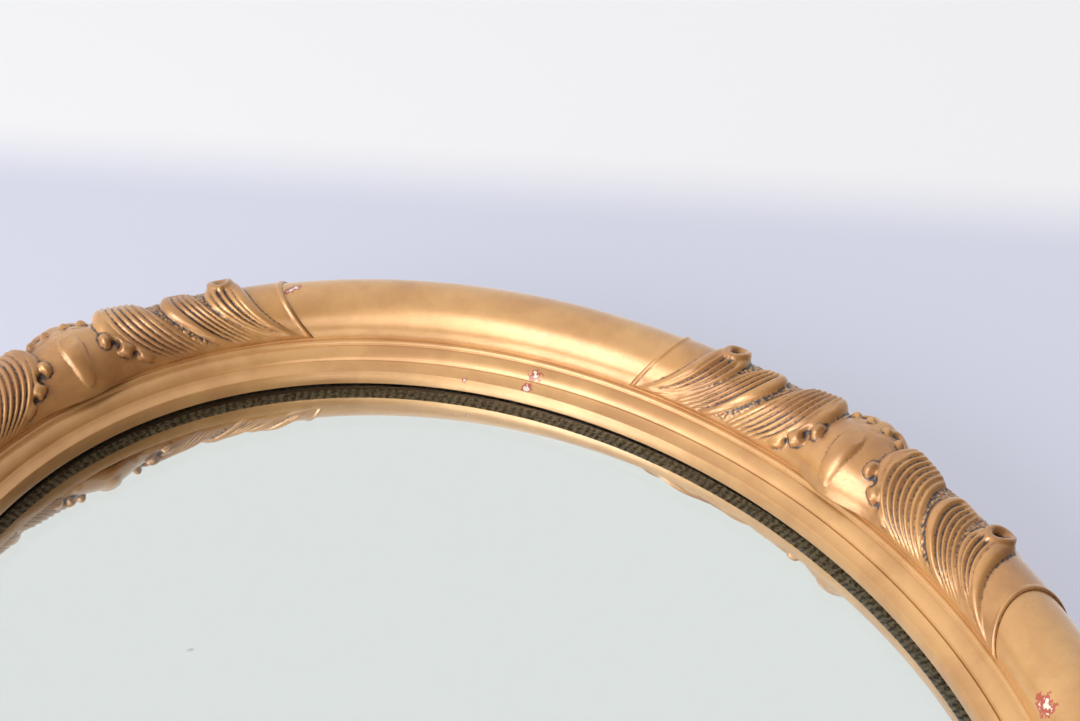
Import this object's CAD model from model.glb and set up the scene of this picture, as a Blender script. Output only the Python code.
import math

import bpy
import numpy as np
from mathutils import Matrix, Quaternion, Vector


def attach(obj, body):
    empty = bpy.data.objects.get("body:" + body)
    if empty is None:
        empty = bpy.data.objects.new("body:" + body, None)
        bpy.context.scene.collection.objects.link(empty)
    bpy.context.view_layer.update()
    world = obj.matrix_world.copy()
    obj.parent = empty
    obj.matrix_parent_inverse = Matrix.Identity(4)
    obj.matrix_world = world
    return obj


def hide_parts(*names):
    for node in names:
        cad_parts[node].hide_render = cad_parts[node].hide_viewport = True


# Oval wall mirror, in metres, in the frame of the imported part.
# +Z is up, the front faces -Y, and the wall is the plane Y = 0.

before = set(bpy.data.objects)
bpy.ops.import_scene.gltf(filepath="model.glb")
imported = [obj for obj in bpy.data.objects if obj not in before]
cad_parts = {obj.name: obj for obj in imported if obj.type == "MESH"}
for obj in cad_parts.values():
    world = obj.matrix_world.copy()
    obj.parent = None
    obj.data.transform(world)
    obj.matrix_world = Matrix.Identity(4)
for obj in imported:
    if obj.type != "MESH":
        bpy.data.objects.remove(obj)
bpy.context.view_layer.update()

MM = 0.001

# Sizes shared with the part's source, in millimetres
SEMI_X = 152.4
SEMI_Z = 203.2
SIGHT_Y = -21.0
REBATE_DEPTH = 15.0
REBATE_WIDTH = 8.5
LIP_LEAN = 0.5
LIP_HEIGHT = 5.3
INNER_BAND = (4.2, 1.9, -0.35)
GROOVE_WIDTH = 0.9
GROOVE_DEPTH = 0.9
OUTER_BAND = (4.1, 2.7, 0.35)
BEAD_STEP = 0.5
BEAD_CROWN = 0.65
TORUS_RADIUS = 13.4
TORUS_OFFSET = 25.6
TORUS_RISE = 12.8
TORUS_INNER_WRAP = 94.0
TORUS_OUTER_WRAP = -125.0
SIDE_STEP = 0.8
BACK_CHAMFER = 1.5

LINING_THICKNESS = 0.6
GLASS_THICKNESS = 6.0
GLASS_OFFSET = 7.5
EDGE_GROUND = 0.5
SILVER_GAP = 0.02

# The ornaments, in millimetres along the torus's centre line and degrees round it
GLUE_LINE = 0.05
SKIN_THICKNESS = 0.5
SKIN_WRAPS = (-97.0, 90.0)
RIDGE_DISTANCE = 81.8
RIDGE_FLARE = 8.8
RIDGE_AXIS_WRAP = -15.0
RIDGE_HALF_WIDTH = 1.15
RIDGE_RISE = 1.0
BOSS_RISE = 4.6
MM_PER_DEGREE = TORUS_RADIUS * math.pi / 180
ORNAMENT_SEED = 7
CREST_REACH = 18.3
FLANK_REACH = 17.9

# How finely curves are divided, how far arrises are softened, and where shading turns sharp
BAND_STEPS = 10
BEAD_STEPS = 12
TORUS_STEPS = 73
QUARTER_STEPS = 121
PLATE_SIDES = 256
SWEEP_DEGREES = 75
SWEEP_STEPS = 3001
ARRIS_SOFTNESS = 0.16
ARRIS_DEGREES = 32
FRAME_SMOOTH_DEGREES = 40
PLATE_EDGE_DEGREES = 60
PLATE_SMOOTH_DEGREES = 30

# The camera, found from the oval's curves in the photograph
CAMERA_PLACE = Vector((-0.19482, -0.49824, -0.36346))
CAMERA_TARGET = Vector((0.14395, -0.02100, 0.13404))
CAMERA_ROLL_DEGREES = -52.386
CAMERA_LENS = 68.3

scene = bpy.context.scene
scene.view_settings.view_transform = "Standard"


# Points and curves

def oval_frame(angle):
    """Points of the sight oval and their outward normals, as x and z in millimetres. Angle 0 is right."""
    turn = np.radians(angle)
    normal = np.stack([SEMI_Z * np.cos(turn), SEMI_X * np.sin(turn)], axis=-1)
    normal /= np.linalg.norm(normal, axis=-1, keepdims=True)
    point = np.stack([SEMI_X * np.cos(turn), SEMI_Z * np.sin(turn)], axis=-1)
    return point, normal


def section_to_space(angle, offset, front):
    """Points of the frame's section set on the oval: offset runs outwards, front towards the viewer."""
    point, normal = oval_frame(angle)
    flat = point + normal * np.asarray(offset)[..., None]
    depth = np.broadcast_to(SIGHT_Y - front, flat.shape[:-1])
    return np.stack([flat[..., 0], depth, flat[..., 1]], axis=-1)


def angle_along(middle_angle, distance):
    """The oval angles at distances along the torus's centre line from an ornament's middle."""
    angles = middle_angle + np.linspace(-SWEEP_DEGREES, SWEEP_DEGREES, SWEEP_STEPS)
    point, normal = oval_frame(angles)
    line = point + normal * TORUS_OFFSET
    steps = np.linalg.norm(np.diff(line, axis=0), axis=-1)
    length = np.concatenate([[0], np.cumsum(steps)])
    length -= np.interp(middle_angle, angles, length)
    return np.interp(distance, length, angles)


def bulged(start, end, bulge, count):
    """Points of a shallow curve that stands off its chord, to the left when the bulge is positive."""
    share = np.linspace(0, 1, count + 1)
    start = np.array(start)
    chord = np.array(end) - start
    left = np.array([-chord[1], chord[0]]) / np.linalg.norm(chord)
    lift = 4 * share * (1 - share) * bulge
    return [tuple(start + chord * t + left * up) for t, up in zip(share, lift)]


def eased(value, low, high):
    """0 below the low value, 1 above the high one, and a smooth rise between them."""
    share = np.clip((value - low) / (high - low), 0, 1)
    return share * share * (3 - 2 * share)


def line_through(points, wrap):
    """A smooth line through (distance, wrap) points, as distances at the wrap angles."""
    distances, wraps = np.array(points).T
    line = np.polyfit(wraps, distances, deg=3)
    return np.polyval(line, np.clip(wrap, wraps[0], wraps[-1]))


# Meshes

def deselect_all():
    """Leave nothing selected, so that an operator acts on one piece alone."""
    for item in bpy.context.selected_objects:
        item.select_set(False)


def select_only(piece):
    """Make one piece the selected and active one."""
    deselect_all()
    piece.select_set(True)
    bpy.context.view_layer.objects.active = piece


def grid_faces(rows, columns, closed_columns=False):
    """The quads of a grid of points, numbered row by row."""
    last = columns if closed_columns else columns - 1
    row, column = np.meshgrid(np.arange(rows - 1), np.arange(last), indexing="ij")
    after = (column + 1) % columns
    here = row * columns
    above = here + columns
    return np.stack([here + column, above + column, above + after, here + after], axis=-1).reshape(-1, 4)


def mesh_piece(name, points, faces, materials):
    """A smooth-shaded piece from points in millimetres and faces of any length."""
    mesh = bpy.data.meshes.new(name)
    mesh.from_pydata((np.asarray(points).reshape(-1, 3) * MM).tolist(), [], [list(face) for face in faces])
    mesh.update()
    mesh.shade_smooth()
    for material in materials:
        mesh.materials.append(material)
    piece = bpy.data.objects.new(name, mesh)
    scene.collection.objects.link(piece)
    return piece


def store_values(piece, name, values):
    """Keep one number a point in the mesh, for a material to read."""
    attribute = piece.data.attributes.new(name, "FLOAT", "POINT")
    attribute.data.foreach_set("value", np.asarray(values, dtype=np.float32).ravel())


# Materials

def put(tree, kind, inputs=None, **settings):
    """Add a node with its settings, and give its inputs values or links."""
    node = tree.nodes.new(kind)
    for name, value in settings.items():
        setattr(node, name, value)
    for key, value in (inputs or {}).items():
        if isinstance(value, bpy.types.NodeSocket):
            tree.links.new(value, node.inputs[key])
        else:
            node.inputs[key].default_value = value
    return node


def maths(tree, operation, first, second=0.0, clamp=False):
    """The result of a Math node."""
    return put(tree, "ShaderNodeMath", {0: first, 1: second}, operation=operation, use_clamp=clamp).outputs[0]


def vector_maths(tree, operation, first, second=(0.0, 0.0, 0.0)):
    """A Vector Math node."""
    return put(tree, "ShaderNodeVectorMath", {0: first, 1: second}, operation=operation)


def smooth_range(tree, value, low, high, start=0.0, end=1.0):
    """A value mapped smoothly from one range to another."""
    inputs = {"Value": value, "From Min": low, "From Max": high, "To Min": start, "To Max": end}
    return put(tree, "ShaderNodeMapRange", inputs, interpolation_type="SMOOTHSTEP").outputs["Result"]


def mixed(tree, factor, first, second):
    """Two colours mixed by a factor."""
    return put(tree, "ShaderNodeMix", {0: factor, 6: first, 7: second}, data_type="RGBA").outputs[2]


def noise(tree, place, scale, detail=3.0, roughness=0.55):
    """A noise pattern's value."""
    inputs = {"Vector": place, "Scale": scale, "Detail": detail, "Roughness": roughness}
    return put(tree, "ShaderNodeTexNoise", inputs).outputs[0]


def object_place(tree):
    """Coordinates fixed to the piece."""
    return put(tree, "ShaderNodeTexCoord").outputs["Object"]


def colour(red, green, blue):
    """A colour written in display values from 0 to 255, as a shader takes it."""
    values = []
    for part in (red / 255, green / 255, blue / 255):
        values.append(part / 12.92 if part <= 0.04045 else ((part + 0.055) / 1.055) ** 2.4)
    return (*values, 1.0)


def new_group(name, inputs, outputs):
    """A node group with named inputs and outputs. Returns it with its input and output nodes."""
    group = bpy.data.node_groups.new(name, "ShaderNodeTree")
    for label, kind in inputs:
        group.interface.new_socket(label, in_out="INPUT", socket_type=kind)
    for label, kind in outputs:
        group.interface.new_socket(label, in_out="OUTPUT", socket_type=kind)
    return group, group.nodes.new("NodeGroupInput"), group.nodes.new("NodeGroupOutput")


FLOAT = "NodeSocketFloat"
COLOUR = "NodeSocketColor"
VECTOR = "NodeSocketVector"

# Finishes: colours, shader settings and the sizes of patterns
GILT_METAL = 0.38
GILT_COAT = 0.8
GILT_COAT_ROUGHNESS = 0.26
WAX = colour(62, 50, 52)
CHIP_RED = colour(178, 84, 60)
CHIP_WHITE = colour(238, 226, 212)
LIP_DARK = colour(66, 60, 42)
LIP_LIGHT = colour(226, 206, 168)
CUTTER_MARKS = 2.1
CUTTER_DRIFT = 9.0
CUTTER_SHARE = 0.07
GRAIN_SCALE = (260.0, 260.0, 18.0)
STAIN_DULLING = 0.25
PLATE_TINT = (0.955, 0.98, 0.968, 1.0)
PLATE_IOR = 1.52
DUST_SCALE = 900.0
SILVER = colour(243, 244, 243)
SILVER_SPOT = colour(190, 186, 174)


def gilt_group():
    """Aged gold paint: cloudy tone, fine grain and dark wax where the surface is hollow."""
    group, given, result = new_group(
        "Aged gilt",
        [("Place", VECTOR), ("Hollow", FLOAT), ("Gold", COLOUR), ("Shade", COLOUR), ("Wax", COLOUR)],
        [("Colour", COLOUR), ("Roughness", FLOAT), ("Height", FLOAT)],
    )
    place = given.outputs["Place"]
    cloud = noise(group, place, scale=42, detail=4)
    speck = noise(group, place, scale=900)
    fine = noise(group, place, scale=3200, detail=2)
    tone = smooth_range(group, cloud, 0.36, 0.66)
    gold = mixed(group, tone, given.outputs["Shade"], given.outputs["Gold"])
    patches = smooth_range(group, cloud, 0.3, 0.6, start=0.65, end=1.15)
    patchy = maths(group, "MULTIPLY", given.outputs["Hollow"], patches)
    uneven = maths(group, "ADD", patchy, smooth_range(group, speck, 0.35, 0.75, start=-0.14, end=0.16))
    wax = smooth_range(group, uneven, 0.06, 0.62)
    group.links.new(mixed(group, wax, gold, given.outputs["Wax"]), result.inputs["Colour"])
    satin = smooth_range(group, speck, 0.3, 0.7, start=0.3, end=0.42)
    rough = maths(group, "ADD", satin, maths(group, "MULTIPLY", wax, 0.2))
    group.links.new(rough, result.inputs["Roughness"])
    height = maths(group, "ADD", maths(group, "MULTIPLY", speck, 0.6), maths(group, "MULTIPLY", fine, 0.4))
    group.links.new(height, result.inputs["Height"])
    return group


def chip_group():
    """One chip in the paint at a place: its white ground and the red rim round it."""
    group, given, result = new_group(
        "Paint chip",
        [("Place", VECTOR), ("Centre", VECTOR), ("Stretch", VECTOR), ("Radius", FLOAT)],
        [("Red", FLOAT), ("White", FLOAT)],
    )
    place = given.outputs["Place"]
    ragged = noise(group, place, scale=700, roughness=0.5)
    away = vector_maths(group, "SUBTRACT", place, given.outputs["Centre"]).outputs["Vector"]
    pulled = vector_maths(group, "MULTIPLY", away, given.outputs["Stretch"]).outputs["Vector"]
    length = vector_maths(group, "LENGTH", pulled).outputs["Value"]
    share = maths(group, "DIVIDE", length, given.outputs["Radius"])
    share = maths(group, "ADD", share, smooth_range(group, ragged, 0.25, 0.75, start=-0.45, end=0.45))
    group.links.new(smooth_range(group, share, 1.0, 0.85), result.inputs["Red"])
    group.links.new(smooth_range(group, share, 0.5, 0.35), result.inputs["White"])
    return group


def dust_group():
    """Sparse pale dust specks."""
    group, given, result = new_group(
        "Dust", [("Place", VECTOR), ("Scale", FLOAT)], [("Specks", FLOAT)])
    place = given.outputs["Place"]
    cells = put(group, "ShaderNodeTexVoronoi", {"Vector": place, "Scale": given.outputs["Scale"]})
    pick = noise(group, place, scale=160)
    near = smooth_range(group, cells.outputs["Distance"], 0.13, 0.08)
    chosen = smooth_range(group, pick, 0.6, 0.72)
    group.links.new(maths(group, "MULTIPLY", near, chosen), result.inputs["Specks"])
    return group


def wood_group():
    """Bare aged timber: streaky grain with pores."""
    group, given, result = new_group(
        "Bare timber", [("Place", VECTOR), ("Light", COLOUR), ("Dark", COLOUR)],
        [("Colour", COLOUR), ("Height", FLOAT)])
    stretched = {"Vector": given.outputs["Place"], "Scale": GRAIN_SCALE}
    drawn = put(group, "ShaderNodeMapping", stretched).outputs[0]
    grain = noise(group, drawn, scale=1, detail=5)
    pores = noise(group, drawn, scale=4, detail=2)
    tone = smooth_range(group, grain, 0.3, 0.7)
    tint = mixed(group, tone, given.outputs["Dark"], given.outputs["Light"])
    group.links.new(tint, result.inputs["Colour"])
    group.links.new(maths(group, "ADD", grain, pores), result.inputs["Height"])
    return group


gilt_nodes = gilt_group()
chip_nodes = chip_group()
dust_nodes = dust_group()
wood_nodes = wood_group()


def use_group(tree, group, inputs):
    """Place a node group in a material."""
    return put(tree, "ShaderNodeGroup", inputs, node_tree=group)


def new_material(name):
    """A material with an empty tree but for its shader and output. Returns material, tree and shader."""
    material = bpy.data.materials.new(name)
    material.use_nodes = True
    tree = material.node_tree
    tree.nodes.clear()
    shader = put(tree, "ShaderNodeBsdfPrincipled")
    output = put(tree, "ShaderNodeOutputMaterial")
    tree.links.new(shader.outputs[0], output.inputs[0])
    return material, tree, shader


def add_bump(tree, shader, height, strength, distance):
    """Give a shader fine relief."""
    bump = put(tree, "ShaderNodeBump", {"Height": height, "Strength": strength, "Distance": distance})
    tree.links.new(bump.outputs[0], shader.inputs["Normal"])


# Places of paint damage on the frame: centre in metres, stretch along each axis, radius in metres
FRAME_CHIPS = (
    ((0.08201, -0.0472, 0.20334), (0.55, 1.0, 1.3), 0.0023),
    ((0.13097, -0.02963, 0.11904), (0.8, 1.0, 0.8), 0.0021),
    ((0.12657, -0.02678, 0.11838), (0.9, 1.0, 0.8), 0.0018),
    ((0.11229, -0.02579, 0.13817), (0.7, 1.0, 1.0), 0.0009),
    ((0.14241, -0.04089, -0.11311), (1.0, 1.0, 0.7), 0.0033),
)


def gilt_material(name, gold, shade, chips=(), hollow_name=None):
    """Satin gold paint over red and white grounds."""
    material, tree, shader = new_material(name)
    place = object_place(tree)
    hollow = 0.0
    if hollow_name:
        hollow = put(tree, "ShaderNodeAttribute", attribute_name=hollow_name).outputs["Fac"]
    paint = use_group(tree, gilt_nodes, {
        "Place": place, "Hollow": hollow, "Gold": gold, "Shade": shade, "Wax": WAX,
    })
    tint = paint.outputs["Colour"]
    metal = GILT_METAL
    for centre, stretch, radius in chips:
        chip_size = {"Centre": centre, "Stretch": stretch, "Radius": radius}
        chip = use_group(tree, chip_nodes, {"Place": place, **chip_size})
        tint = mixed(tree, chip.outputs["Red"], tint, CHIP_RED)
        tint = mixed(tree, chip.outputs["White"], tint, CHIP_WHITE)
        metal = maths(tree, "SUBTRACT", metal, chip.outputs["Red"], clamp=True)
    tree.links.new(tint, shader.inputs["Base Color"])
    tree.links.new(paint.outputs["Roughness"], shader.inputs["Roughness"])
    if isinstance(metal, float):
        shader.inputs["Metallic"].default_value = metal
    else:
        tree.links.new(metal, shader.inputs["Metallic"])
    shader.inputs["Coat Weight"].default_value = GILT_COAT
    shader.inputs["Coat Roughness"].default_value = GILT_COAT_ROUGHNESS
    add_bump(tree, shader, paint.outputs["Height"], strength=0.35, distance=0.0001)
    return material


def raw_lip_material():
    """The lip's dark underside, cut by a spinning cutter that left marks across it."""
    material, tree, shader = new_material("Raw lip")
    place = object_place(tree)
    along = put(tree, "ShaderNodeAttribute", attribute_name="along").outputs["Fac"]
    drift = maths(tree, "MULTIPLY", noise(tree, place, scale=120), CUTTER_DRIFT)
    marks = maths(tree, "SINE", maths(tree, "ADD", maths(tree, "MULTIPLY", along, CUTTER_MARKS), drift))
    rough = noise(tree, place, scale=800, detail=5, roughness=0.7)
    tone = maths(tree, "ADD", maths(tree, "MULTIPLY", marks, CUTTER_SHARE), rough)
    tint = mixed(tree, smooth_range(tree, tone, 0.36, 0.66), LIP_DARK, LIP_LIGHT)
    tree.links.new(tint, shader.inputs["Base Color"])
    shader.inputs["Roughness"].default_value = 0.8
    add_bump(tree, shader, tone, strength=0.6, distance=0.0003)
    return material


def timber_material(name, light, dark):
    """Bare timber or plywood."""
    material, tree, shader = new_material(name)
    grain = use_group(tree, wood_nodes, {"Place": object_place(tree), "Light": light, "Dark": dark})
    tree.links.new(grain.outputs["Colour"], shader.inputs["Base Color"])
    shader.inputs["Roughness"].default_value = 0.7
    add_bump(tree, shader, grain.outputs["Height"], strength=0.4, distance=0.0002)
    return material


def metal_material(name, bright, dull, roughness):
    """Steel or brass with stains and fine drawing marks."""
    material, tree, shader = new_material(name)
    place = object_place(tree)
    stain = noise(tree, place, scale=140, detail=4)
    marks = noise(tree, place, scale=2600, detail=2)
    tint = mixed(tree, smooth_range(tree, stain, 0.35, 0.68), bright, dull)
    tree.links.new(tint, shader.inputs["Base Color"])
    rough = smooth_range(tree, stain, 0.3, 0.7, start=roughness, end=roughness + STAIN_DULLING)
    tree.links.new(rough, shader.inputs["Roughness"])
    shader.inputs["Metallic"].default_value = 1.0
    add_bump(tree, shader, marks, strength=0.25, distance=0.00005)
    return material


def felt_material(name, light, dark):
    """Pressed felt with loose fibres."""
    material, tree, shader = new_material(name)
    place = object_place(tree)
    fibres = noise(tree, place, scale=1900, detail=6, roughness=0.7)
    tint = mixed(tree, smooth_range(tree, fibres, 0.35, 0.65), dark, light)
    tree.links.new(tint, shader.inputs["Base Color"])
    shader.inputs["Roughness"].default_value = 0.95
    shader.inputs["Sheen Weight"].default_value = 0.3
    add_bump(tree, shader, fibres, strength=0.7, distance=0.0004)
    return material


def plate_material():
    """Clear, slightly green plate glass with a little dust on it."""
    material, tree, shader = new_material("Plate glass")
    dust = use_group(tree, dust_nodes, {"Place": object_place(tree), "Scale": DUST_SCALE})
    rough = smooth_range(tree, dust.outputs["Specks"], 0.1, 0.9, end=0.45)
    tree.links.new(rough, shader.inputs["Roughness"])
    shader.inputs["Base Color"].default_value = PLATE_TINT
    shader.inputs["Transmission Weight"].default_value = 1.0
    shader.inputs["IOR"].default_value = PLATE_IOR
    return material


def silver_material():
    """The silvered back of the plate, with a few faint spots near its rim."""
    material, tree, shader = new_material("Silvering")
    spots = noise(tree, object_place(tree), scale=60, detail=5)
    tint = mixed(tree, smooth_range(tree, spots, 0.72, 0.8), SILVER, SILVER_SPOT)
    tree.links.new(tint, shader.inputs["Base Color"])
    shader.inputs["Metallic"].default_value = 1.0
    shader.inputs["Roughness"].default_value = 0.0
    return material


frame_gilt = gilt_material("Frame gilt", colour(218, 168, 108), colour(200, 148, 92), chips=FRAME_CHIPS)
ornament_gilt = gilt_material(
    "Ornament gilt", colour(212, 158, 96), colour(180, 128, 78), hollow_name="hollow")
raw_lip = raw_lip_material()
frame_timber = timber_material("Frame timber", colour(176, 138, 92), colour(132, 96, 58))


# The frame's moulding

def frame_section():
    """The closed section from the sight edge over the front, as rounded runs that each have one material."""
    arris = (LIP_LEAN, LIP_HEIGHT)
    groove_start = (arris[0] + INNER_BAND[0], arris[1] + INNER_BAND[1])
    groove_end = (groove_start[0] + GROOVE_WIDTH, groove_start[1] + GROOVE_WIDTH / 2)
    groove_foot = ((groove_start[0] + groove_end[0]) / 2, groove_start[1] - GROOVE_DEPTH)
    band_end = (groove_end[0] + OUTER_BAND[0], groove_end[1] + OUTER_BAND[1])
    bead_start = (band_end[0] + BEAD_STEP, band_end[1])
    wraps = np.radians(np.linspace(TORUS_INNER_WRAP, TORUS_OUTER_WRAP, TORUS_STEPS))
    torus = list(zip(TORUS_OFFSET - TORUS_RADIUS * np.sin(wraps), TORUS_RISE + TORUS_RADIUS * np.cos(wraps)))
    side = torus[-1][0] - SIDE_STEP
    front_runs = [
        [(0.0, 0.0), arris],
        bulged(arris, groove_start, INNER_BAND[2], BAND_STEPS),
        [groove_start, groove_foot, groove_end],
        bulged(groove_end, band_end, OUTER_BAND[2], BAND_STEPS),
        [band_end, bead_start],
        bulged(bead_start, torus[0], BEAD_CROWN, BEAD_STEPS),
        torus,
        [torus[-1], (side, torus[-1][1]), (side, BACK_CHAMFER - REBATE_DEPTH),
         (side - BACK_CHAMFER, -REBATE_DEPTH)],
    ]
    back_run = [(side - BACK_CHAMFER, -REBATE_DEPTH), (REBATE_WIDTH, -REBATE_DEPTH), (REBATE_WIDTH, 0.0)]
    lip_run = [(REBATE_WIDTH, 0.0), (0.0, 0.0)]
    points = []
    run_materials = []
    for material, runs in ((0, front_runs), (1, [back_run]), (2, [lip_run])):
        for run in runs:
            points += run[:-1]
            run_materials += [material] * (len(run) - 1)
    return np.array(points), run_materials


def frame_piece(name, start_angle):
    """A quarter of the moulding, run along the oval from one joint to the next."""
    section, run_materials = frame_section()
    angles = start_angle + np.linspace(0, 90, QUARTER_STEPS)
    points = section_to_space(angles[:, None] + np.zeros(len(section)), section[:, 0], section[:, 1])
    count = len(section)
    faces = [tuple(face) for face in grid_faces(len(angles), count, closed_columns=True)]
    piece = mesh_piece(name, points, faces, [frame_gilt, frame_timber, raw_lip])
    for polygon in piece.data.polygons:
        polygon.material_index = run_materials[polygon.index % count]
    point, _ = oval_frame(angles)
    length = np.concatenate([[0], np.cumsum(np.linalg.norm(np.diff(point, axis=0), axis=-1))])
    store_values(piece, "along", np.repeat(length, count))
    select_only(piece)
    bevel = piece.modifiers.new("Soft arrises", "BEVEL")
    bevel.width = ARRIS_SOFTNESS * MM
    bevel.segments = 2
    bevel.limit_method = "ANGLE"
    bevel.angle_limit = math.radians(ARRIS_DEGREES)
    bpy.ops.object.modifier_apply(modifier=bevel.name)
    bpy.ops.object.mode_set(mode="EDIT")
    bpy.ops.mesh.select_mode(type="EDGE")
    bpy.ops.mesh.select_all(action="DESELECT")
    bpy.ops.mesh.select_non_manifold()
    bpy.ops.mesh.edge_face_add()
    bpy.ops.mesh.select_all(action="SELECT")
    bpy.ops.mesh.normals_make_consistent(inside=False)
    bpy.ops.object.mode_set(mode="OBJECT")
    bpy.ops.object.shade_smooth_by_angle(angle=math.radians(FRAME_SMOOTH_DEGREES))
    return piece


QUARTER_STARTS = {"top_right": 0, "top_left": 90, "bottom_left": 180, "bottom_right": 270}

for quarter_name, quarter_start in QUARTER_STARTS.items():
    quarter = frame_piece("gilt_frame_" + quarter_name, quarter_start)
    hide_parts("frame_" + quarter_name)
    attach(quarter, "mirror")


# The carved ornaments

# Relief over the torus: places are (distance, wrap angle), sizes and rises are in millimetres
BOSS_SPREAD = 14.6
BOSS_FADE = (20, 30)
POD_CENTRE = (0, 35)
POD_HALF_SIZE = (4.9, 8.8)
POD_RISE = 1.7
POD_ROUNDNESS = 2.5
POD_TAPER_WRAPS = (12, 62)
POD_NARROWING = 0.35
POD_FLATTENING = 0.45

# Each leaf lies between two edges, given as places. Its grooves are (share across, half width, depth).
BOSS_LEAF = {
    "left": ((15.0, -44), (12.2, -20), (11.6, 9), (14.5, 34), (21.5, 62), (31, 84)),
    "right": ((32, -44), (33.5, -16), (36, 10), (40.5, 38), (49, 68), (54, 88)),
    "heights": ((-50, 5.4), (-35, 5.8), (0, 4.9), (35, 3.3), (72, 1.6), (84, 0.7), (92, 0.4)),
    "tip_wrap": -40,
    "lean": 0.6,
    "groove_ends": (-40, 84),
    "grooves": ((0.22, 0.6, 0.6), (0.33, 0.75, 1.2), (0.44, 0.8, 1.4), (0.55, 0.8, 1.4), (0.66, 0.75, 1.2),
                (0.77, 0.7, 1.0), (0.88, 0.6, 0.8)),
}
MIDDLE_LEAF = {
    "left": ((39.5, -34), (37.4, -14), (38.3, 8), (43, 38), (54.8, 76), (60, 90)),
    "right": ((49, -38), (51.5, -26), (52.8, 0), (58.8, 36), (71, 70), (79, 90)),
    "heights": ((-44, 2.6), (-20, 3.2), (0, 3.1), (35, 2.7), (60, 1.9), (78, 1.0), (90, 0.4)),
    "tip_wrap": -36,
    "lean": 0.35,
    "groove_ends": (-32, 84),
    "grooves": ((0.36, 0.85, 1.6), (0.52, 0.8, 1.6), (0.67, 0.75, 1.5), (0.82, 0.7, 1.3), (0.94, 0.5, 0.9)),
}
END_LEAF = {
    "left": ((57, -44), (54.6, -22), (54.0, -2), (59.5, 35), (71, 66), (84, 88)),
    "right": ((65, -44), (67.5, -27), (69.2, 0), (74.8, 37), (82.5, 66), (91, 86)),
    "heights": ((-50, 3.6), (-20, 4.0), (0, 3.5), (35, 2.8), (60, 2.1), (78, 1.2), (90, 0.5)),
    "tip_wrap": -42,
    "lean": -0.1,
    "groove_ends": (-12, 82),
    "grooves": ((0.17, 0.7, 1.2), (0.34, 0.85, 1.7), (0.5, 0.8, 1.6), (0.66, 0.5, 0.7)),
}
NARROWEST_LEAF = 0.5
LEAF_FULLNESS = 3.5
LEAF_TIP_LENGTH = 11
GROOVE_FADE = 16
GROOVE_FULL_RISE = 1.2
HEIGHT_STEPS = 200
HEIGHT_WINDOW = 15

# Curls are (centre, half sizes, rise, turn in radians), and eyes are (centre, radius, depth)
BOSS_LEAF_CURLS = (
    ((12.9, 25), (2.7, 2.9), 5.4, 0.0),
    ((19.2, 45), (4.4, 2.9), 3.9, 0.5),
    ((26.0, 63), (4.4, 2.2), 2.5, 0.5),
)
BOSS_LEAF_EYES = (((16.0, 36), 1.7, 3.6), ((22.2, 57), 1.5, 2.4))
CURL_ROUNDNESS = 2.4
SCROLL_CENTRE = (60.6, -24)
SCROLL_RADIUS = 3.2
SCROLL_THICKNESS = 1.5
SCROLL_RISE = 3.9
SCROLL_LIP = 0.9
SCROLL_EYE_RADIUS = 2.1
SCROLL_EYE_DEPTH = 2.9

RUFFLE_HALF_LENGTH = 12.5
RUFFLE_EDGE_WRAP = -16
RUFFLE_CREST_RISE = 1.9
RUFFLE_CREST_WRAP = -42
RUFFLE_CREST_SPREAD = 12
RUFFLE_FLUTE = 0.07
RUFFLE_PITCH = 6.4
RUFFLE_LOBES = (((3.6, -30), (3.0, 1.8), 6.3), ((9.4, -30), (2.8, 1.6), 5.0))
RUFFLE_LOBE_ROUNDNESS = 2.2
RUFFLE_EYE = ((6.6, -33), 1.3, 2.6)
CREASE_DEPTH = 0.9
CREASE_WRAP = -20
CREASE_SPREAD = 4.5
CREASE_REACH = 11.5

# A row of pendants on the outer flank, and the rough valleys between the leaves
PENDANT_RISE = 1.3
PENDANT_START = 16
PENDANT_PITCH = 9.2
PENDANT_BLUNTNESS = 0.7
PENDANT_WRAPS = (-95, -84, -62, -50)
PENDANT_DISTANCES = (13, 18, 62, 70)
VALLEY_DISTANCES = (24, 32, 60, 64)
VALLEY_OUTER_WRAP = -48
VALLEY_INNER_WRAPS = (66, 82)
VALLEY_RISE = 0.35
BARE_RISE = 0.3

# How the relief meets the moulding
THINNEST_SKIN = 0.06
SHORE_SHARE = 0.15
OUTER_SHORE = 4
INNER_SHORE = 5
ORNAMENT_ROWS = 431
ORNAMENT_COLUMNS = 108
CRUMB_RISE = 0.4
CRUMB_LIMITS = (-0.25, 0.4)
HOLLOW_PASSES = 18
HOLLOW_DEPTH = 0.8
VALLEY_HOLLOW = 0.3
LEAST_COSINE = 0.1
ORNAMENT_SMOOTH_DEGREES = 75


def along_height(points, wrap):
    """Heights at wrap angles, eased between (wrap, height) points."""
    wraps, heights = np.array(points).T
    fine = np.linspace(wraps[0], wraps[-1], HEIGHT_STEPS)
    values = np.interp(fine, wraps, heights)
    window = np.ones(HEIGHT_WINDOW) / HEIGHT_WINDOW
    values = np.convolve(np.pad(values, HEIGHT_WINDOW // 2, mode="edge"), window, mode="valid")
    return np.interp(wrap, fine, values)


def risen(value, stops):
    """1 between the middle two of four stops, eased to 0 at the outer two."""
    return eased(value, stops[0], stops[1]) * (1 - eased(value, stops[2], stops[3]))


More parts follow.
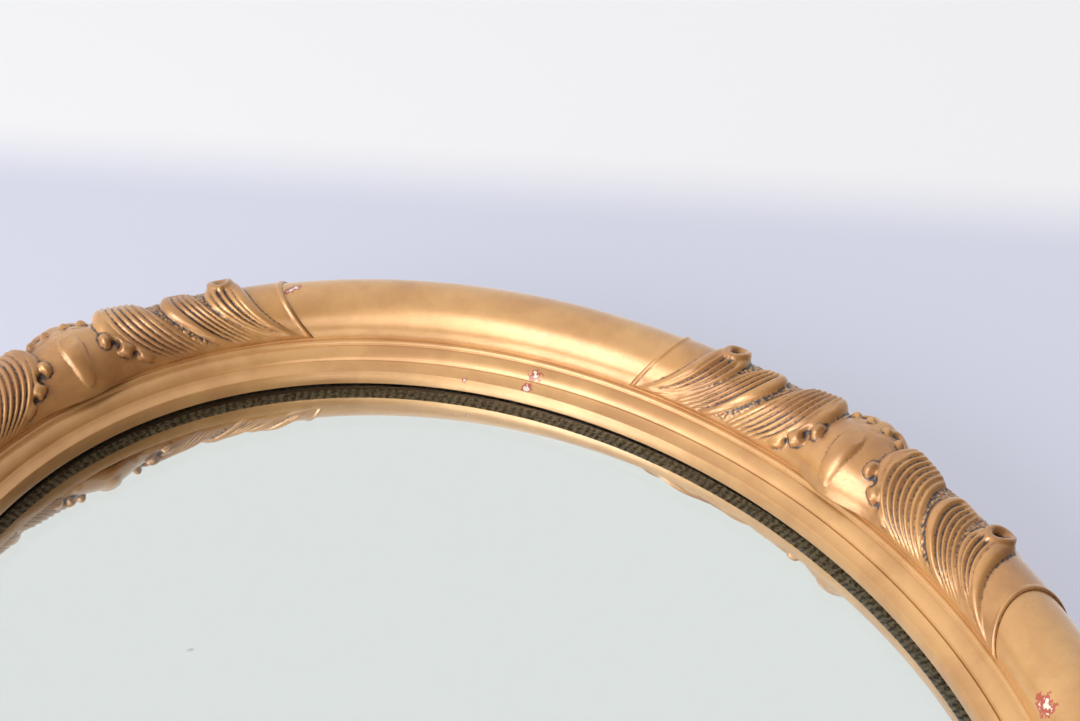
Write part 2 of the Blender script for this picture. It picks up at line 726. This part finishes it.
def plume(distance, wrap, left, right, heights, tip_wrap, lean, groove_ends, grooves):
    """One leaf that curls over at its tip and runs down to a narrow foot, grooved along its length."""
    left_edge = line_through(left, wrap)
    right_edge = line_through(right, wrap)
    width = np.maximum(right_edge - left_edge, NARROWEST_LEAF)
    across = (distance - left_edge) / width
    inside = np.clip(across, 0, 1)
    body = np.sqrt(np.clip(1 - np.abs(2 * inside - 1) ** LEAF_FULLNESS, 0, 1)) * (1 + lean * (0.5 - inside))
    past_tip = np.clip((tip_wrap + LEAF_TIP_LENGTH - wrap) / LEAF_TIP_LENGTH, 0, 1)
    tip = np.sqrt(np.clip(1 - past_tip ** 2, 0, 1))
    rise = along_height(heights, wrap) * body * tip
    first, last = groove_ends
    reach = risen(wrap, (first, first + GROOVE_FADE, last - GROOVE_FADE, last))
    for centre, half_width, depth in grooves:
        gap = (inside - centre) * width / half_width
        rise -= depth * np.exp(-gap ** 2) * reach * np.clip(rise / GROOVE_FULL_RISE, 0, 1)
    return np.where((across > 0) & (across < 1), rise, 0.0)


def knob(distance, wrap, centre, half_size, rise, roundness, turn=0.0):
    """A rounded knob at (distance, wrap), with half sizes in millimetres along and round."""
    x = distance - centre[0]
    y = (wrap - centre[1]) * MM_PER_DEGREE
    turned_x = x * math.cos(turn) + y * math.sin(turn)
    turned_y = y * math.cos(turn) - x * math.sin(turn)
    far = (np.abs(turned_x) / half_size[0]) ** roundness + (np.abs(turned_y) / half_size[1]) ** roundness
    return rise * np.sqrt(np.clip(1 - far, 0, 1))


def pit(distance, wrap, centre, radius, depth):
    """A small drilled eye."""
    x = distance - centre[0]
    y = (wrap - centre[1]) * MM_PER_DEGREE
    return depth * np.exp(-((x * x + y * y) / radius ** 2) ** 1.5)


def rolled_edge(distance, wrap, centre, radius, thickness):
    """A ring round a place, as at a curled leaf tip: 1 along its crest and 0 off it."""
    x = distance - centre[0]
    y = (wrap - centre[1]) * MM_PER_DEGREE
    gap = (np.hypot(x, y) - radius) / thickness
    return np.sqrt(np.clip(1 - gap ** 2, 0, 1))


def ridge_distance(wrap):
    """Where an ornament ends, at a wrap angle."""
    return RIDGE_DISTANCE + RIDGE_FLARE * (1 - np.cos(np.radians(wrap - RIDGE_AXIS_WRAP)))


def boss_relief(distance, wrap):
    """The dome in the ornament's middle, with a pod on it."""
    dome = BOSS_RISE * np.exp(-(distance / BOSS_SPREAD) ** 2) * (1 - eased(distance, *BOSS_FADE))
    low_down = eased(wrap, *POD_TAPER_WRAPS)
    squeezed = distance * (1 + POD_NARROWING * low_down)
    pod = knob(squeezed, wrap, POD_CENTRE, POD_HALF_SIZE, POD_RISE, POD_ROUNDNESS)
    return np.maximum(SKIN_THICKNESS, dome) + pod * (1 - POD_FLATTENING * low_down)


def boss_leaf_relief(distance, wrap):
    """The big leaf beside the boss, with curls down its inner edge and drilled eyes between them."""
    leaf = plume(distance, wrap, **BOSS_LEAF)
    for centre, half_size, rise, turn in BOSS_LEAF_CURLS:
        leaf = np.maximum(leaf, knob(distance, wrap, centre, half_size, rise, CURL_ROUNDNESS, turn))
    for centre, radius, depth in BOSS_LEAF_EYES:
        leaf = leaf - pit(distance, wrap, centre, radius, depth)
    return leaf


def end_leaf_relief(distance, wrap):
    """The leaf nearest the ornament's end, rolled up at its tip."""
    leaf = plume(distance, wrap, **END_LEAF)
    scroll = rolled_edge(distance, wrap, SCROLL_CENTRE, SCROLL_RADIUS, SCROLL_THICKNESS)
    leaf = np.maximum(leaf, (SCROLL_RISE + SCROLL_LIP * scroll) * (scroll > 0))
    return leaf - pit(distance, wrap, SCROLL_CENTRE, SCROLL_EYE_RADIUS, SCROLL_EYE_DEPTH)


def ruffle_relief(distance, wrap):
    """The fluted ruffle on the outer side of the boss."""
    shoulder = np.sqrt(np.clip(1 - (distance / RUFFLE_HALF_LENGTH) ** 2, 0, 1)) * (wrap < RUFFLE_EDGE_WRAP)
    crest = RUFFLE_CREST_RISE * np.exp(-((wrap - RUFFLE_CREST_WRAP) / RUFFLE_CREST_SPREAD) ** 2)
    flutes = 1 - RUFFLE_FLUTE + RUFFLE_FLUTE * np.abs(np.cos(distance * math.pi / RUFFLE_PITCH))
    ruffle = (BOSS_RISE + crest) * shoulder * flutes
    for centre, half_size, rise in RUFFLE_LOBES:
        ruffle = np.maximum(ruffle, knob(distance, wrap, centre, half_size, rise, RUFFLE_LOBE_ROUNDNESS))
    centre, radius, depth = RUFFLE_EYE
    return ruffle - pit(distance, wrap, centre, radius, depth)


def pendant_relief(distance, wrap):
    """A row of hanging drops on the outer flank."""
    drops = np.abs(np.cos((distance - PENDANT_START) * math.pi / PENDANT_PITCH)) ** PENDANT_BLUNTNESS
    return PENDANT_RISE * drops * risen(wrap, PENDANT_WRAPS) * risen(distance, PENDANT_DISTANCES)


def ornament_height(distance, wrap):
    """The relief over the torus in millimetres, and where it is rough, for a distance of zero or more."""
    height = boss_relief(distance, wrap)
    ruffle = ruffle_relief(distance, wrap)
    crease = CREASE_DEPTH * np.exp(-((wrap - CREASE_WRAP) / CREASE_SPREAD) ** 2)
    height = height - crease * (distance < CREASE_REACH) * (ruffle < height)

    leaves = np.maximum.reduce([
        boss_leaf_relief(distance, wrap),
        plume(distance, wrap, **MIDDLE_LEAF),
        end_leaf_relief(distance, wrap),
        ruffle,
    ])
    valley = risen(distance, VALLEY_DISTANCES) * (leaves <= BARE_RISE) * (wrap > VALLEY_OUTER_WRAP)
    valley *= 1 - eased(wrap, *VALLEY_INNER_WRAPS)
    flank = pendant_relief(distance, wrap) / 2 + SKIN_THICKNESS
    height = np.maximum(height, np.maximum(leaves, flank)) + VALLEY_RISE * valley

    from_ridge = (distance - ridge_distance(wrap)) / RIDGE_HALF_WIDTH
    ridge = RIDGE_RISE * np.sqrt(np.clip(1 - from_ridge ** 2, 0, 1))
    height = np.maximum(height * (from_ridge < 1), ridge)
    outer, inner = SKIN_WRAPS
    shore = risen(wrap, (outer, outer + OUTER_SHORE, inner - INNER_SHORE, inner))
    shore = SHORE_SHARE + (1 - SHORE_SHARE) * shore
    return GLUE_LINE + np.clip(height, THINNEST_SKIN, None) * shore, valley


def blurred(values, passes):
    """A grid of values smoothed with its neighbours."""
    for _ in range(passes):
        padded = np.pad(values, 1, mode="edge")
        around = padded[:-2, 1:-1] + padded[2:, 1:-1] + padded[1:-1, :-2] + padded[1:-1, 2:]
        values = (around + 4 * values) / 8
    return values


def ornament_piece(name, middle_angle):
    """One cast ornament: its relief in front, its glue face behind, closed all round."""
    shares = np.linspace(-1, 1, ORNAMENT_ROWS)
    wraps = np.linspace(*SKIN_WRAPS, ORNAMENT_COLUMNS)
    share, wrap = np.meshgrid(shares, wraps, indexing="ij")
    distance = share * (ridge_distance(wrap) + RIDGE_HALF_WIDTH)
    height, valley = ornament_height(np.abs(distance), wrap)
    crumbs = np.random.default_rng(ORNAMENT_SEED + middle_angle).normal(size=height.shape)
    height = blurred(height, 1) + valley * np.clip(blurred(crumbs, 2) * CRUMB_RISE, *CRUMB_LIMITS)
    turn = np.radians(wrap)
    height = np.minimum(height, CREST_REACH / np.maximum(np.cos(turn), LEAST_COSINE) - TORUS_RADIUS)
    height = np.minimum(height, FLANK_REACH / np.maximum(-np.sin(turn), LEAST_COSINE) - TORUS_RADIUS)
    sunk = (blurred(height, HOLLOW_PASSES) - height) / HOLLOW_DEPTH
    hollow = np.clip(sunk + VALLEY_HOLLOW * valley, 0, 1)
    angle = angle_along(middle_angle, distance.ravel()).reshape(distance.shape)

    def surface(reach):
        return section_to_space(angle, TORUS_OFFSET - reach * np.sin(turn), TORUS_RISE + reach * np.cos(turn))

    outside = surface(TORUS_RADIUS + height)
    inside = surface(np.full_like(height, TORUS_RADIUS + GLUE_LINE / 2))
    rows, columns = height.shape
    count = rows * columns
    number = np.arange(count).reshape(rows, columns)
    front = grid_faces(rows, columns)
    back = front[:, ::-1] + count
    rim = np.concatenate([number[:, 0], number[-1, 1:], number[-2::-1, -1], number[0, -2:0:-1]])
    after = np.roll(rim, -1)
    wall = np.stack([rim, rim + count, after + count, after], axis=-1)
    points = np.concatenate([outside.reshape(-1, 3), inside.reshape(-1, 3)])
    piece = mesh_piece(name, points, np.concatenate([front, back, wall]), [ornament_gilt])
    store_values(piece, "hollow", np.concatenate([hollow.ravel(), np.zeros(count)]))
    select_only(piece)
    bpy.ops.object.mode_set(mode="EDIT")
    bpy.ops.mesh.select_all(action="SELECT")
    bpy.ops.mesh.normals_make_consistent(inside=False)
    bpy.ops.object.mode_set(mode="OBJECT")
    bpy.ops.object.shade_smooth_by_angle(angle=math.radians(ORNAMENT_SMOOTH_DEGREES))
    return piece


ORNAMENT_MIDDLES = {"top": 90, "right": 0, "bottom": 270, "left": 180}

for side_name, ornament_middle in ORNAMENT_MIDDLES.items():
    carving = ornament_piece("cast_ornament_" + side_name, ornament_middle)
    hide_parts("ornament_" + side_name)
    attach(carving, "mirror")


# The plate

def plate_piece():
    """The oval plate with its ground edges, a hair clear of the silvering behind it."""
    thickness = GLASS_THICKNESS - SILVER_GAP
    middle_y = SIGHT_Y + LINING_THICKNESS + thickness / 2
    deselect_all()
    bpy.ops.mesh.primitive_cylinder_add(
        vertices=PLATE_SIDES, radius=1.0, depth=thickness * MM,
        location=(0, middle_y * MM, 0), rotation=(math.pi / 2, 0, 0),
    )
    piece = bpy.context.active_object
    piece.name = "plate_glass"
    piece.scale = ((SEMI_X + GLASS_OFFSET) * MM, (SEMI_Z + GLASS_OFFSET) * MM, 1.0)
    bpy.ops.object.transform_apply(location=True, rotation=True, scale=True)
    bevel = piece.modifiers.new("Ground edge", "BEVEL")
    bevel.width = EDGE_GROUND * MM
    bevel.segments = 1
    bevel.limit_method = "ANGLE"
    bevel.angle_limit = math.radians(PLATE_EDGE_DEGREES)
    bpy.ops.object.modifier_apply(modifier=bevel.name)
    bpy.ops.object.shade_smooth_by_angle(angle=math.radians(PLATE_SMOOTH_DEGREES))
    piece.data.materials.append(plate_material())
    return piece


plate = plate_piece()
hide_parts("mirror_glass")
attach(plate, "mirror")


# Finishes of the nodes that stay as they are

def dress(material, *names):
    """Give CAD nodes a material."""
    for name in names:
        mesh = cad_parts[name].data
        mesh.materials.clear()
        mesh.materials.append(material)


softwood = timber_material("Softwood", colour(196, 158, 108), colour(160, 120, 74))
beech = timber_material("Beech dowel", colour(206, 168, 124), colour(176, 134, 92))
board = timber_material("Backing board", colour(150, 112, 72), colour(112, 78, 46))
drawn_steel = metal_material("Drawn steel", colour(176, 172, 164), colour(110, 98, 86), 0.32)
tarnished_brass = metal_material("Tarnished brass plate", colour(206, 172, 106), colour(128, 100, 60), 0.28)
screw_steel = metal_material("Screw steel", colour(188, 182, 170), colour(120, 108, 92), 0.3)
black_felt = felt_material("Black strip", colour(26, 28, 26), colour(12, 13, 12))
brown_felt = felt_material("Brown felt", colour(116, 84, 60), colour(74, 50, 34))

dress(silver_material(), "mirror_silvering")
dress(black_felt, "rebate_lining")
dress(softwood, "glass_blocks")
dress(board, "backing_board")
dress(beech, "joint_dowels_top", "joint_dowels_right", "joint_dowels_bottom", "joint_dowels_left")
dress(drawn_steel, "backing_pins")
dress(tarnished_brass, "hanger_strap_left", "hanger_strap_right", "hanger_ring_left", "hanger_ring_right")
dress(screw_steel, "strap_screws_left", "strap_screws_right")
dress(brown_felt, "wall_pads")


# Camera, light and backdrop

FILM_WIDTH = 36.0
PHOTO_WIDTH = 1080
PHOTO_HEIGHT = 721
NEAREST_SEEN = 0.01
FARTHEST_SEEN = 50.0

# The wall's soft edge passes through two pixels at the sides of the photograph
EDGE_LEFT_PIXEL = (0, 150)
EDGE_RIGHT_PIXEL = (1080, 215)
WALL_BLUR = 0.03
WALL_COLOUR = colour(217, 220, 237)
WALL_WHITE = colour(246, 247, 250)
WALL_GLOW = 0.5
BLACK = colour(0, 0, 0)
WALL_REACH = 3.0
WALL_GAP = 0.0005
FLOOR_Z = -1.3
FLOOR_SEEN = colour(228, 228, 230)
FLOOR_BOUNCE = colour(120, 108, 98)

WORLD_STRENGTH = 0.93
WORLD_ABOVE = (1.0, 0.995, 0.99, 1.0)
WORLD_BELOW = (0.26, 0.22, 0.19, 1.0)
WORLD_CHANGE = (-0.75, 0.35)
WORLD_SEEN = colour(240, 240, 241)

LAMPS = (
    {"name": "Window", "place": (-1.82, -0.86, 0.16), "target": (0.05, -0.03, 0.1),
     "width": 1.7, "height": 0.95, "power": 32.0},
    {"name": "Low window", "place": (-1.45, -0.62, -0.85), "target": (0.1, -0.03, 0.12),
     "width": 1.1, "height": 1.1, "power": 9.0},
)


def add_camera():
    """The photograph's viewing angle."""
    data = bpy.data.cameras.new("Camera")
    data.lens = CAMERA_LENS
    data.sensor_width = FILM_WIDTH
    data.clip_start = NEAREST_SEEN
    data.clip_end = FARTHEST_SEEN
    item = bpy.data.objects.new("Camera", data)
    scene.collection.objects.link(item)
    item.location = CAMERA_PLACE
    look = (CAMERA_TARGET - CAMERA_PLACE).to_track_quat("-Z", "Y")
    item.rotation_mode = "QUATERNION"
    item.rotation_quaternion = look @ Quaternion((0, 0, 1), math.radians(CAMERA_ROLL_DEGREES))
    scene.camera = item
    return item


def add_area_light(name, place, target, width, height, power):
    """A soft rectangular lamp."""
    data = bpy.data.lights.new(name, "AREA")
    data.shape = "RECTANGLE"
    data.size = width
    data.size_y = height
    data.energy = power
    item = bpy.data.objects.new(name, data)
    scene.collection.objects.link(item)
    item.location = place
    item.rotation_mode = "QUATERNION"
    item.rotation_quaternion = (Vector(target) - Vector(place)).to_track_quat("-Z", "Y")


def add_world():
    """Even pale light from above and the sides, less from below, and a plain near-white background."""
    world = bpy.data.worlds.new("Studio")
    scene.world = world
    world.use_nodes = True
    tree = world.node_tree
    tree.nodes.clear()
    path = put(tree, "ShaderNodeLightPath")
    seen = maths(tree, "MAXIMUM", path.outputs["Is Camera Ray"], path.outputs["Is Transmission Ray"])
    towards = put(tree, "ShaderNodeTexCoord").outputs["Generated"]
    up = put(tree, "ShaderNodeSeparateXYZ", {0: towards}).outputs["Z"]
    tone = mixed(tree, smooth_range(tree, up, *WORLD_CHANGE), WORLD_BELOW, WORLD_ABOVE)
    light = put(tree, "ShaderNodeBackground", {"Color": tone, "Strength": WORLD_STRENGTH})
    back = put(tree, "ShaderNodeBackground", {"Color": WORLD_SEEN, "Strength": 1.0})
    mix = put(tree, "ShaderNodeMixShader", {0: seen, 1: light.outputs[0], 2: back.outputs[0]})
    output = put(tree, "ShaderNodeOutputWorld")
    tree.links.new(mix.outputs[0], output.inputs[0])


def wall_material(edge):
    """A pale wall, lavender below a soft edge and white above. It is clear from behind and to the light."""
    material, tree, shader = new_material("Wall")
    shader.inputs["Roughness"].default_value = 0.9
    shader.inputs["Specular IOR Level"].default_value = 0.1
    place = put(tree, "ShaderNodeSeparateXYZ", {0: object_place(tree)})
    start, end = edge
    run = np.array(end) - np.array(start)
    normal = np.array([-run[1], run[0]]) / np.linalg.norm(run)
    level = float(normal @ np.array(start))
    sideways = maths(tree, "MULTIPLY", place.outputs["X"], float(normal[0]))
    upwards = maths(tree, "MULTIPLY", place.outputs["Z"], float(normal[1]))
    off = maths(tree, "ADD", sideways, upwards)
    white = smooth_range(tree, off, level - WALL_BLUR, level + WALL_BLUR)
    tone = mixed(tree, white, WALL_COLOUR, WALL_WHITE)
    lit_share = mixed(tree, WALL_GLOW, tone, BLACK)
    tree.links.new(lit_share, shader.inputs["Base Color"])
    tree.links.new(tone, shader.inputs["Emission Color"])
    shader.inputs["Emission Strength"].default_value = WALL_GLOW
    clear = put(tree, "ShaderNodeBsdfTransparent")
    behind = put(tree, "ShaderNodeNewGeometry").outputs["Backfacing"]
    seen = put(tree, "ShaderNodeLightPath").outputs["Is Camera Ray"]
    unseen = maths(tree, "SUBTRACT", 1.0, seen)
    gone = maths(tree, "MAXIMUM", behind, unseen)
    mix = put(tree, "ShaderNodeMixShader", {0: gone, 1: shader.outputs[0], 2: clear.outputs[0]})
    tree.links.new(mix.outputs[0], tree.nodes["Material Output"].inputs[0])
    return material


def floor_material():
    """A pale matt floor that throws only a little warm light up."""
    material, tree, shader = new_material("Floor")
    seen = put(tree, "ShaderNodeLightPath").outputs["Is Camera Ray"]
    tree.links.new(mixed(tree, seen, FLOOR_BOUNCE, FLOOR_SEEN), shader.inputs["Base Color"])
    shader.inputs["Roughness"].default_value = 0.9
    return material


def camera_ray_on_wall(camera_item, pixel):
    """Where the line through a pixel of the photograph meets the wall, as x and z."""
    focal = CAMERA_LENS / FILM_WIDTH * PHOTO_WIDTH
    across, down = pixel
    ray = Vector(((across - PHOTO_WIDTH / 2) / focal, (PHOTO_HEIGHT / 2 - down) / focal, -1.0))
    direction = camera_item.rotation_quaternion @ ray
    reach = -CAMERA_PLACE.y / direction.y
    point = CAMERA_PLACE + direction * reach
    return (point.x, point.z)


def add_sheet(name, corners, material):
    """A flat backdrop or floor from its corners."""
    mesh = bpy.data.meshes.new(name)
    mesh.from_pydata(corners, [], [tuple(range(len(corners)))])
    mesh.materials.append(material)
    item = bpy.data.objects.new(name, mesh)
    scene.collection.objects.link(item)


camera = add_camera()
wall_edge = (camera_ray_on_wall(camera, EDGE_LEFT_PIXEL), camera_ray_on_wall(camera, EDGE_RIGHT_PIXEL))
wall_corners = [(-WALL_REACH, WALL_GAP, FLOOR_Z), (WALL_REACH, WALL_GAP, FLOOR_Z),
                (WALL_REACH, WALL_GAP, WALL_REACH), (-WALL_REACH, WALL_GAP, WALL_REACH)]
floor_corners = [(-WALL_REACH, -WALL_REACH, FLOOR_Z), (WALL_REACH, -WALL_REACH, FLOOR_Z),
                 (WALL_REACH, WALL_REACH, FLOOR_Z), (-WALL_REACH, WALL_REACH, FLOOR_Z)]
add_sheet("wall", wall_corners, wall_material(wall_edge))
add_sheet("floor", floor_corners, floor_material())
add_world()
for lamp in LAMPS:
    add_area_light(**lamp)
